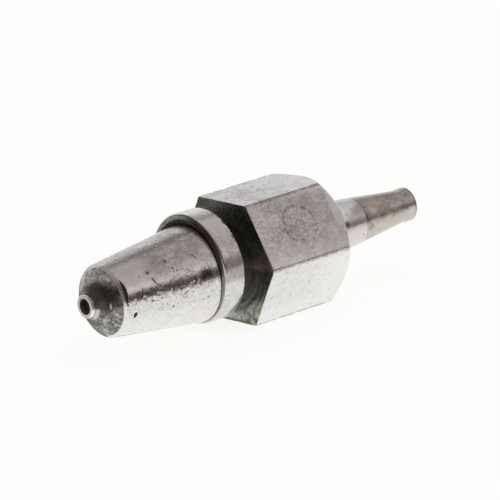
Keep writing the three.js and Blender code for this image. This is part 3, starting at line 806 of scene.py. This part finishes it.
def hex_extra(m, colour, rough, height):
    """Oily front face with a painted dark reflection, paler towards the bottom with painted reflections; dirt along the
    edges; a worn patch on one flat.
    """
    f = m.ramp(m.axis_normal(), -0.55, -0.85)
    r = m.radius()
    n = m.noise(0.9, 5, 0.65, shift=(4, 4, 1), distortion=0.6)
    n2 = m.noise(2.4, 4, 0.6, shift=(1, 4, 6), distortion=0.4)
    n3 = m.math("ADD", m.math("MULTIPLY", n, 0.5), m.math("MULTIPLY", n2, 0.5))
    # front face: oily dirt with a painted dark reflection, paler lower down, where the lighter turned arcs are painted
    # reflections
    turned_arc_reflections = m.t.nodes.new("ShaderNodeTexNoise")
    turned_arc_reflections.noise_dimensions = "1D"
    turned_arc_reflections.inputs["Scale"].default_value = 2.2
    turned_arc_reflections.inputs["Detail"].default_value = 3
    m.put(turned_arc_reflections.inputs["W"], m.math("ADD", r, m.math("MULTIPLY", n, 0.5)))
    arc = m.ramp(turned_arc_reflections.outputs[0], 0.38, 0.62)
    low = m.ramp(m.math("ADD", m.z, m.math("MULTIPLY", n3, 2.2)), 0.4, -4.6)
    dark = m.mix(m.ramp(n3, 0.42, 0.6), (0.17, 0.167, 0.155), (0.34, 0.33, 0.285))
    pale = m.mix(arc, (0.20, 0.20, 0.165), (0.48, 0.47, 0.41))
    foot = m.math("ADD", m.ramp(m.y, -3.6, 0.4, 0.0, 0.5), m.math("MULTIPLY", m.ramp(n, 0.40, 0.60), 0.6), clamp=True)
    pale = m.mix(m.ramp(m.z, -5.0, -6.6), pale, m.mix(foot, (0.11, 0.11, 0.088), (0.62, 0.61, 0.54)))
    grime_and_dark_reflection = m.mix(low, dark, pale)
    colour = m.mix(m.math("MULTIPLY", f, 0.97), colour, grime_and_dark_reflection)
    sole = m.math("MULTIPLY", m.ramp(m.math("ADD", m.z, m.math("MULTIPLY", m.math("SUBTRACT", n2, 0.5), 0.25)), -7.46, -7.74), m.ramp(m.y, -4.4, -3.2))
    colour = m.mix(m.math("MULTIPLY", m.math("MULTIPLY", sole, f), 0.85), colour, (0.10, 0.095, 0.08))
    rough = m.math("ADD", rough, m.math("MULTIPLY", f, 0.12))
    # lighter towards the lower edge of the flat that faces -Y and up
    lower = m.math("MULTIPLY", m.ramp(m.z, 4.2, 0.6), m.ramp(m.z, -0.4, 0.0))
    colour = m.mix(m.math("MULTIPLY", lower, 0.42), colour, (0.90, 0.885, 0.88))
    # darker towards the back of the upper flats
    rear = m.math("MULTIPLY", m.ramp(m.x, 2.0, 6.0), m.ramp(m.z, 0.2, 1.6))
    rear = m.math("MULTIPLY", rear, m.math("ADD", 0.12, m.math("MULTIPLY", m.ramp(n3, 0.40, 0.60), 0.22)))
    colour = m.mix(m.math("MULTIPLY", rear, m.ramp(m.z, 7.7, 7.2)), colour, (0.34, 0.31, 0.30))
    # cleaner along the chamfer, and at the back and the foot of the lower flats
    rim = m.math("MULTIPLY", m.ramp(m.x, 12.3, 13.1), m.ramp(m.z, 2.0, 3.4))
    rim = m.math("MAXIMUM", rim, m.math("MULTIPLY", m.ramp(m.x, 6.5, 10.0), m.ramp(m.z, 7.3, 7.8)))
    foot = m.math("MULTIPLY", m.math("MAXIMUM", m.ramp(m.x, 7.0, 11.0), m.ramp(m.z, -5.0, -6.5)), m.ramp(m.z, -0.3, -1.0))
    foot = m.math("MULTIPLY", foot, m.math("SUBTRACT", 1.0, f))
    colour = m.mix(m.math("ADD", m.math("MULTIPLY", rim, 0.5), m.math("MULTIPLY", foot, 0.5)), colour, (0.92, 0.91, 0.905))
    # dark soft lines along the six edges and round the chamfer
    a = m.math("ARCTAN2", m.z, m.y)
    corner = m.math("ABSOLUTE", m.math("SUBTRACT", m.math("FRACT", m.math("ADD", m.math("DIVIDE", a, math.pi / 3), 0.5)), 0.5))
    line = m.math("ADD", m.math("MULTIPLY", corner, 1.0), m.math("MULTIPLY", m.math("SUBTRACT", n2, 0.5), 0.045))
    edge = m.math("MULTIPLY", m.ramp(line, 0.042, 0.012), m.ramp(n, 0.34, 0.52))
    edge = m.math("MULTIPLY", edge, m.ramp(m.math("ABSOLUTE", m.axis_normal()), 0.45, 0.2))
    colour = m.mix(m.math("MULTIPLY", edge, 0.55), colour, (0.20, 0.175, 0.16))
    # worn patch on the flat that faces -Y and up, with a plain round punch mark
    c30, s30 = math.cos(math.radians(30)), math.sin(math.radians(30))
    away = m.math("ADD", m.math("MULTIPLY", m.y, -c30), m.math("MULTIPLY", m.z, s30))
    along = m.math("ADD", m.math("MULTIPLY", m.y, s30), m.math("MULTIPLY", m.z, c30))
    on = m.ramp(away, 7.7, 7.9)
    px, py = m.math("SUBTRACT", m.x, 7.0), m.math("SUBTRACT", along, 0.35)
    ring_d = m.math("SQRT", m.math("ADD", m.math("MULTIPLY", px, px), m.math("MULTIPLY", py, py)))
    wob = m.math("ADD", ring_d, m.math("MULTIPLY", m.math("SUBTRACT", n2, 0.5), 1.1))
    punch = m.math("MULTIPLY", m.ramp(m.math("ABSOLUTE", m.math("SUBTRACT", wob, 2.5)), 0.06, 0.20, 1.0, 0.0), on)
    punch = m.math("MULTIPLY", punch, m.ramp(n, 0.42, 0.56, 0.08, 0.85))
    worn_spot = m.math("MULTIPLY", m.math("MULTIPLY", m.ramp(wob, 4.0, 2.2), on), m.ramp(n3, 0.42, 0.58))
    colour = m.mix(m.math("MULTIPLY", worn_spot, 0.45), colour, (0.32, 0.29, 0.28))
    colour = m.mix(m.math("MULTIPLY", punch, 0.6), colour, (0.12, 0.105, 0.10))
    height = m.math("SUBTRACT", height, m.math("MULTIPLY", punch, 1.5))
    return colour, rough, height


def ferrule_extra(m, colour, rough, height):
    """Whitish at the root, mauve further back, with dirt at the seam."""
    seam = m.ramp(m.math("ADD", m.x, m.math("MULTIPLY", m.noise(1.8, 4, 0.6, shift=(2, 2, 8)), 0.9)), 21.95, 22.3)
    colour = m.mix(m.math("MULTIPLY", seam, 0.7), colour, (0.14, 0.125, 0.11))
    a = m.math("MULTIPLY", m.math("ARCTAN2", m.z, m.math("MULTIPLY", m.y, -1.0)), 57.29578)
    lag = m.math("MULTIPLY", m.ramp(a, 15.0, 80.0, smooth=False), 5.4)
    mauve = m.ramp(m.math("ADD", m.math("SUBTRACT", m.x, lag), m.math("MULTIPLY", m.math("SUBTRACT", m.noise(1.1, 5, 0.65, shift=(5, 2, 8), distortion=0.5), 0.5), 3.2)), 15.9, 18.5)
    # half as much mauve on the underside: a painted reflection of the pale floor
    mauve = m.math("MULTIPLY", mauve, m.ramp(a, -9.0, 5.0, 0.5, 1.0))
    colour = m.mix(m.math("MULTIPLY", mauve, 0.72), m.mix(0.8, colour, (0.93, 0.915, 0.90)), (0.43, 0.395, 0.38))
    # a dark smear beside the hexagon, and one spot underneath
    for s0, a0, hs, ha, dark in ((18.0, 15.0, 0.48, 10.0, 0.8), (21.0, -21.0, 0.2, 4.0, 0.5)):
        qs = m.math("DIVIDE", m.math("SUBTRACT", m.x, s0), hs)
        qa = m.math("DIVIDE", m.math("SUBTRACT", a, a0), ha)
        q = m.math("SQRT", m.math("ADD", m.math("MULTIPLY", qs, qs), m.math("MULTIPLY", qa, qa)))
        colour = m.mix(m.ramp(q, 0.3, 1.3, dark, 0.0), colour, (0.11, 0.10, 0.09))
    m.metallic = m.math("ADD", 0.30, m.math("MULTIPLY", mauve, 0.6))
    return colour, rough, height


def tail_extra(m, colour, rough, height):
    n = m.noise(0.9, 5, 0.65, shift=(2, 8, 1), stretch=(0.7, 1, 1), distortion=0.5)
    heat = m.mix(m.ramp(n, 0.36, 0.62), (0.315, 0.278, 0.235), (0.565, 0.525, 0.46))
    colour = m.mix(0.85, colour, heat)
    # brown blotch behind the seam, paler and creamier towards the underside
    blot = m.math("MULTIPLY", m.ramp(m.math("ADD", m.x, m.math("MULTIPLY", n, 3.0)), 24.6, 23.4), m.ramp(m.math("ABSOLUTE", m.math("SUBTRACT", m.z, m.math("MULTIPLY", n, 1.4))), 1.4, 0.5))
    colour = m.mix(m.math("MULTIPLY", blot, 0.7), colour, (0.17, 0.15, 0.125))
    under = m.ramp(m.z, 0.3, -0.9)
    colour = m.mix(m.math("MULTIPLY", under, 0.8), colour, (0.56, 0.545, 0.475))
    a = m.math("MULTIPLY", m.math("ARCTAN2", m.z, m.math("MULTIPLY", m.y, -1.0)), 57.29578)
    colour = m.mix(m.math("MULTIPLY", m.ramp(a, 56.0, 74.0), 0.5), colour, (0.84, 0.80, 0.74))
    # brown drips at the seam, below the reflection's dark band
    for s0, a0, hs, ha in ((22.25, -13.0, 0.34, 7.0), (22.75, -9.0, 0.30, 5.0)):
        qs = m.math("DIVIDE", m.math("SUBTRACT", m.x, s0), hs)
        qa = m.math("DIVIDE", m.math("SUBTRACT", a, a0), ha)
        q = m.math("SQRT", m.math("ADD", m.math("MULTIPLY", qs, qs), m.math("MULTIPLY", qa, qa)))
        colour = m.mix(m.ramp(m.math("ADD", q, m.math("SUBTRACT", n, 0.5)), 0.3, 1.3, 0.6, 0.0), colour, (0.13, 0.115, 0.095))
    end = m.ramp(m.x, TAIL - 0.35, TAIL - 0.12)
    colour = m.mix(m.math("MULTIPLY", end, 0.6), colour, (0.15, 0.13, 0.115))
    return colour, m.math("ADD", rough, 0.06), height


def nipple_extra(m, colour, rough, height):
    lip = m.ramp(m.x, -23.40, -23.52)
    inside = m.math("MULTIPLY", m.ramp(m.radius(), 1.12, 1.07), m.ramp(m.x, NOSE + 0.005, NOSE + 0.05))
    foot = m.math("MULTIPLY", m.ramp(m.x, NOSE + 0.004, NOSE + 0.05), m.ramp(m.z, -0.40, 0.0))
    foot = m.math("MULTIPLY", foot, m.math("MAXIMUM", m.ramp(m.y, -0.5, -0.9), m.ramp(m.x, NOSE + 0.20, NOSE + 0.32)))
    # the nipple's lower front near-white and less metallic: a painted reflection of the pale floor
    clean = m.math("MULTIPLY", m.ramp(m.x, NOSE - 0.03, NOSE + 0.02), m.ramp(m.z, -0.05, -0.45))
    m.metallic = m.math("SUBTRACT", 1.0, m.math("MAXIMUM", m.math("MULTIPLY", lip, 0.55), m.math("MULTIPLY", clean, 0.5)))
    colour = m.mix(m.math("MULTIPLY", clean, 0.8), colour, (0.97, 0.96, 0.95))
    colour = m.mix(m.math("MULTIPLY", foot, 0.9), colour, (0.20, 0.175, 0.165))
    colour = m.mix(m.math("MULTIPLY", m.ramp(m.z, 0.3, 1.1), 0.45), colour, (0.60, 0.58, 0.57))
    colour = m.mix(inside, colour, (0.14, 0.13, 0.12))
    return colour, m.math("ADD", rough, m.math("MULTIPLY", inside, 0.4)), height


def simple_metal(name, a, b, rough, turned=True):
    """Turned or drawn metal for the pieces inside: fine rings, a little tarnish."""
    m = Nodes(name)
    n = m.noise(1.6, 4, 0.6, distortion=0.3)
    colour = m.mix(m.ramp(n, 0.35, 0.65), a, b)
    m.put(m.bsdf.inputs["Base Color"], colour)
    m.put(m.bsdf.inputs["Roughness"], m.math("ADD", m.math("MULTIPLY", n, 0.14), rough - 0.07))
    m.bsdf.inputs["Metallic"].default_value = 1.0
    rings = m.noise(16.0, 2, 0.5, stretch=(1, 0.06, 0.06) if turned else (1, 1, 1))
    m.bump(rings, 0.00001, 0.4)
    return m.mat


mats = {
    "nose_metal": plated("nose_plate", light=(0.83, 0.815, 0.81), seed=1.0, rough=0.12, extra=nose_extra, under=0.7),
    "nipple_metal": plated("nipple_plate", light=(0.93, 0.92, 0.91), dull=(0.80, 0.77, 0.75), seed=2.2, rough=0.30, speck=0.3, extra=nipple_extra),
    "ring_metal": plated("ring_plate", light=(0.93, 0.91, 0.905), dull=(0.66, 0.63, 0.615), seed=3.7, rough=0.14, extra=ring_extra, under=0.8),
    "body_metal": plated("hexagon_plate", light=(0.80, 0.785, 0.78), dull=(0.40, 0.37, 0.36), seed=5.1, rough=0.17, extra=hex_extra, calm=0.85),
    "ferrule_metal": plated("ferrule_plate", seed=6.4, rough=0.15, speck=0.6, extra=ferrule_extra),
    "tail_metal": plated("tail_plate", seed=7.9, rough=0.17, speck=0.8, extra=tail_extra),
    "inner_brass": simple_metal("turned_brass", (0.72, 0.58, 0.33), (0.60, 0.46, 0.25), 0.3),
    "inner_steel": simple_metal("bright_steel", (0.62, 0.62, 0.62), (0.50, 0.50, 0.50), 0.25),
    "washer_copper": simple_metal("soft_copper", (0.78, 0.46, 0.32), (0.60, 0.34, 0.24), 0.35),
}


def finish_piece(ob, node, body, slot):
    ob.data.materials.clear()
    ob.data.materials.append(mats[slot])
    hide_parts(node)
    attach(ob, body)


finish_piece(nose_cone, "nose_cone", "nozzle", "nose_metal")
finish_piece(nipple, "orifice_insert", "nozzle", "nipple_metal")
finish_piece(ring, "collar_ring", "ring", "ring_metal")
finish_piece(hexagon, "hex_body", "nozzle", "body_metal")
finish_piece(ferrule, "tail_ferrule", "nozzle", "ferrule_metal")
finish_piece(tail, "tail_tube", "nozzle", "tail_metal")
finish_piece(spring, "valve_spring", "nozzle", "inner_steel")
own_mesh(spring)

slot_of = {s["node"]: s["material_slot"] for s in frame["record"]["subparts"]} if isinstance(frame["record"].get("subparts"), list) else {}
for n, ob in frame["nodes"].items():
    if not ob.hide_render:
        ob.data.materials.clear()
        ob.data.materials.append(mats.get(slot_of.get(n), mats["inner_brass"]))

# -------------------------------------------------------------- stage, light
floor_z = -8.0 * MM - 0.00002
me = bpy.data.meshes.new("floor")
R = 0.9
me.from_pydata([(-R, -R, floor_z), (R, -R, floor_z), (R, R, floor_z), (-R, R, floor_z)], [], [(0, 1, 2, 3)])
floor = bpy.data.objects.new("floor", me)
bpy.context.scene.collection.objects.link(floor)
fm = bpy.data.materials.new("pale_floor")
fm.use_nodes = True
t = fm.node_tree
t.nodes.clear()
o = t.nodes.new("ShaderNodeOutputMaterial")
d = t.nodes.new("ShaderNodeBsdfDiffuse")
d.inputs[0].default_value = (0.18, 0.18, 0.18, 1)
e = t.nodes.new("ShaderNodeEmission")
e.inputs[0].default_value = (0.8775, 0.8775, 0.862, 1)
e.inputs[1].default_value = 1.0
a = t.nodes.new("ShaderNodeAddShader")
t.links.new(d.outputs[0], a.inputs[0]); t.links.new(e.outputs[0], a.inputs[1]); t.links.new(a.outputs[0], o.inputs[0])
floor.data.materials.append(fm)


def card(name, corners, colour, strength):
    """A card that only reflections see."""
    me = bpy.data.meshes.new(name)
    me.from_pydata([tuple(c * MM for c in p) for p in corners], [], [tuple(range(len(corners)))])
    ob = bpy.data.objects.new(name, me)
    bpy.context.scene.collection.objects.link(ob)
    cm = bpy.data.materials.new(name)
    cm.use_nodes = True
    t = cm.node_tree
    t.nodes.clear()
    o = t.nodes.new("ShaderNodeOutputMaterial")
    e = t.nodes.new("ShaderNodeEmission")
    e.inputs[0].default_value = (*colour, 1)
    e.inputs[1].default_value = strength
    t.links.new(e.outputs[0], o.inputs[0])
    ob.data.materials.append(cm)
    ob.visible_camera = False
    ob.visible_diffuse = False
    ob.visible_shadow = False
    ob.visible_transmission = False
    return ob


card("far_card", [(-150, -64, -7.9), (22, -64, -7.9), (22, -64, 9), (-150, -64, 9)], (0.098, 0.085, 0.078), 1.0)
card("far_card_right", [(24, -64, -7.9), (190, -64, -7.9), (190, -64, 1), (24, -64, 1)], (0.15, 0.135, 0.12), 1.0)
card("floor_card_right", [(43, -12, -7.9), (78, -49, -7.9), (84, -63.9, -7.9), (190, -63.9, -7.9), (190, -12, -7.9)], (0.15, 0.135, 0.12), 1.0)
card("dark_card", [(-75, 3, -7.9), (-7, 3, -7.9), (-7, 70, -7.9), (-75, 70, -7.9)], (0.09, 0.085, 0.06), 1.0)

world = bpy.data.worlds.new("studio")
bpy.context.scene.world = world
world.use_nodes = True
t = world.node_tree
t.nodes.clear()


def wmath(op, *args, clamp=False):
    n = t.nodes.new("ShaderNodeMath")
    n.operation = op
    n.use_clamp = clamp
    for i, a in enumerate(args):
        if isinstance(a, bpy.types.NodeSocket):
            t.links.new(a, n.inputs[i])
        else:
            n.inputs[i].default_value = a
    return n.outputs[0]


def wramp(value, lo, hi, out0=0.0, out1=1.0):
    n = t.nodes.new("ShaderNodeMapRange")
    n.interpolation_type = "SMOOTHSTEP"
    t.links.new(value, n.inputs[0])
    for i, v in enumerate((lo, hi, out0, out1)):
        n.inputs[i + 1].default_value = v
    return n.outputs[0]


def wmix(f, a, b):
    n = t.nodes.new("ShaderNodeMix")
    n.data_type = "RGBA"
    for i, v in ((0, f), (6, a), (7, b)):
        if isinstance(v, bpy.types.NodeSocket):
            t.links.new(v, n.inputs[i])
        else:
            n.inputs[i].default_value = (*v, 1.0) if isinstance(v, tuple) else v
    return n.outputs[2]


tc = t.nodes.new("ShaderNodeTexCoord")
sep = t.nodes.new("ShaderNodeSeparateXYZ")
t.links.new(tc.outputs["Generated"], sep.inputs[0])
dx, dy, dz = sep.outputs
wall_near, wall_far = (0.37, 0.37, 0.37), (0.75, 0.745, 0.745)
horizon = (0.115, 0.098, 0.088)
left = (0.085, 0.08, 0.065)
back = wramp(dy, 0.40, 0.50)
seam = wmath("MULTIPLY", wramp(dy, 0.30, 0.38), 0.9)
low = wramp(dz, 0.33, 0.13)
sky = wmix(wramp(dz, 0.40, 0.54), (0.68, 0.635, 0.62), (0.50, 0.46, 0.455))
sky = wmix(wramp(dz, 0.62, 0.80), sky, (0.43, 0.39, 0.395))
low = wmath("MULTIPLY", low, wramp(dx, 0.62, 0.50, 0.72, 1.0))
col = wmix(low, sky, horizon)
col = wmix(seam, col, (0.16, 0.15, 0.15))
light_wall = wmix(wramp(dy, 0.50, 0.74), wall_near, wall_far)
col = wmix(back, col, light_wall)
to_left = wramp(dx, -0.15, -0.50)
left_low = wramp(dz, 0.75, 0.40)
left_col = wmix(left_low, (0.30, 0.30, 0.27), left)
col = wmix(to_left, col, left_col)
lp = t.nodes.new("ShaderNodeLightPath")
lit = wmix(lp.outputs["Is Glossy Ray"], (0.62, 0.62, 0.62), col)
lit = wmix(lp.outputs["Is Camera Ray"], lit, (1.0, 1.0, 1.0))
bg = t.nodes.new("ShaderNodeBackground")
t.links.new(lit, bg.inputs[0])
wo = t.nodes.new("ShaderNodeOutputWorld")
t.links.new(bg.outputs[0], wo.inputs[0])

bpy.context.scene.view_settings.view_transform = "Standard"

# -------------------------------------------------------------------- camera
cam = bpy.data.objects.new("camera", bpy.data.cameras.new("camera"))
bpy.context.scene.collection.objects.link(cam)
right = Vector((0.7511, -0.6542, -0.0892)).normalized()
up = Vector((0.2406, 0.1455, 0.9596))
back_v = right.cross(up).normalized()
up = back_v.cross(right).normalized()
cam.matrix_world = Matrix((
    (right.x, up.x, back_v.x, -0.39553718),
    (right.y, up.y, back_v.y, -0.47771808),
    (right.z, up.z, back_v.z, 0.17215076),
    (0, 0, 0, 1),
))
cam.data.lens = 360.0
cam.data.sensor_width = 36.0
cam.data.clip_start = 0.01
cam.data.clip_end = 10.0
bpy.context.scene.camera = cam
